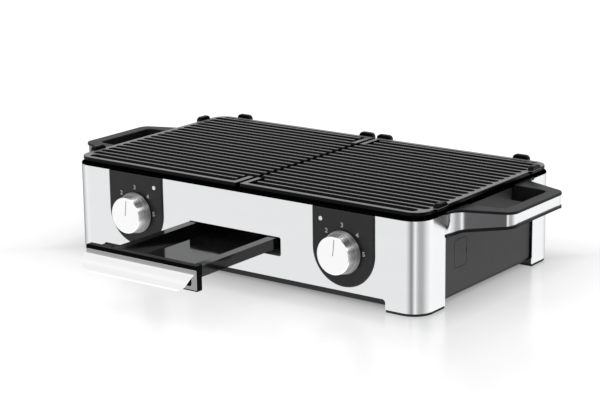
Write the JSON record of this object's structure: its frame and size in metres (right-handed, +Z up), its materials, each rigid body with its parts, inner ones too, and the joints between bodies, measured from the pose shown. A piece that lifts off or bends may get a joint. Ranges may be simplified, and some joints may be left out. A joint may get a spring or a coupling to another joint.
{
  "type": "electric table grill",
  "caption": "Wide electric table grill with ribbed lift-off plates side by side, a heat control for each, side handles and a front drip drawer.",
  "frame": {"origin": "centre of the housing's footprint, on the surface that the four foot pads stand on", "axes": "+X to the right seen from the front, -Y towards the drawer and the knobs, +Z up"},
  "size_m": [0.6362, 0.4788, 0.123],
  "materials": {
    "housing_steel": "satin",
    "handle_steel": "satin",
    "knob_steel": "satin, spun",
    "panel_plastic": "fine matt grain",
    "black_plastic": "matt",
    "side_plastic": "fine matt grain",
    "grip_plastic": "fine matt grain",
    "drawer_plastic": "gloss",
    "drawer_steel": "satin",
    "grill_coating": "cast, black non-stick coating",
    "frame_plastic": "matt",
    "lamp_lens": "gloss, frosted",
    "pointer_plastic": "matt",
    "foot_rubber": "matt",
    "heater_sheath": "dull",
    "reflector_sheet": "bright",
    "screw_steel": "plain",
    "lead_cover": "matt sleeve",
    "terminal_ceramic": "glazed",
    "control_metal": "plated"
  },
  "bodies": {
    "base": {"base_pan": "black_plastic", "base_screws": "screw_steel", "bracket_screws_left": "screw_steel", "bracket_screws_right": "screw_steel", "control_panel_left": "panel_plastic", "control_panel_right": "panel_plastic", "cord_gland": "black_plastic", "drawer_guide_left": "control_metal", "drawer_guide_right": "control_metal", "drawer_shelf": "black_plastic", "element_clips_left": "terminal_ceramic", "element_clips_right": "terminal_ceramic", "foot_pad_front_left": "foot_rubber", "foot_pad_front_right": "foot_rubber", "foot_pad_rear_left": "foot_rubber", "foot_pad_rear_right": "foot_rubber", "front_shell": "housing_steel", "gland_nut": "black_plastic", "grease_channel": "reflector_sheet", "handle_grip_left": "grip_plastic", "handle_grip_right": "grip_plastic", "handle_screws_left": "screw_steel", "handle_screws_right": "screw_steel", "handle_strap_left": "handle_steel", "handle_strap_right": "handle_steel", "heating_element_left": "heater_sheath", "heating_element_right": "heater_sheath", "pilot_lamp_left": "lamp_lens", "pilot_lamp_right": "lamp_lens", "rear_shell": "housing_steel", "reflector_pan_left": "reflector_sheet", "reflector_pan_right": "reflector_sheet", "service_cover_left": "side_plastic", "service_cover_right": "side_plastic", "side_panel_left": "side_plastic", "side_panel_right": "side_plastic", "standoff_posts": "control_metal", "terminal_block": "terminal_ceramic", "thermal_cutout_left": "terminal_ceramic", "thermal_cutout_right": "terminal_ceramic", "thermostat_bracket_left": "control_metal", "thermostat_bracket_right": "control_metal", "thermostat_left": "control_metal", "thermostat_right": "control_metal", "top_frame": "frame_plastic", "wiring_left": "lead_cover", "wiring_right": "lead_cover"},
    "drawer": {"drawer_front": "drawer_plastic", "drawer_pull": "drawer_steel", "drip_tray": "drawer_plastic"},
    "plate_left": {"grill_plate_left": "grill_coating"},
    "plate_right": {"grill_plate_right": "grill_coating"},
    "knob_left": {"knob_cap_left": "knob_steel", "knob_core_left": "black_plastic", "knob_pointer_left": "pointer_plastic", "knob_spindle_left": "control_metal"},
    "knob_right": {"knob_cap_right": "knob_steel", "knob_core_right": "black_plastic", "knob_pointer_right": "pointer_plastic", "knob_spindle_right": "control_metal"}
  },
  "joints": [
    {"name": "drawer_slide", "type": "slide", "parent": "base", "child": "drawer", "axis": [0, -1, 0], "range_m": [-0.1445, 0.095]},
    {"name": "plate_left_lift", "type": "slide", "parent": "base", "child": "plate_left", "axis": [0, 0, 1], "range_m": [0, 0.06]},
    {"name": "plate_right_lift", "type": "slide", "parent": "base", "child": "plate_right", "axis": [0, 0, 1], "range_m": [0, 0.06]},
    {"name": "knob_left_turn", "type": "hinge", "parent": "base", "child": "knob_left", "pos_m": [-0.15295, -0.158, 0.0608], "axis": [0, 1, 0], "range_deg": [-135, 90]},
    {"name": "knob_right_turn", "type": "hinge", "parent": "base", "child": "knob_right", "pos_m": [0.15295, -0.158, 0.0608], "axis": [0, 1, 0], "range_deg": [-135, 90]}
  ]
}
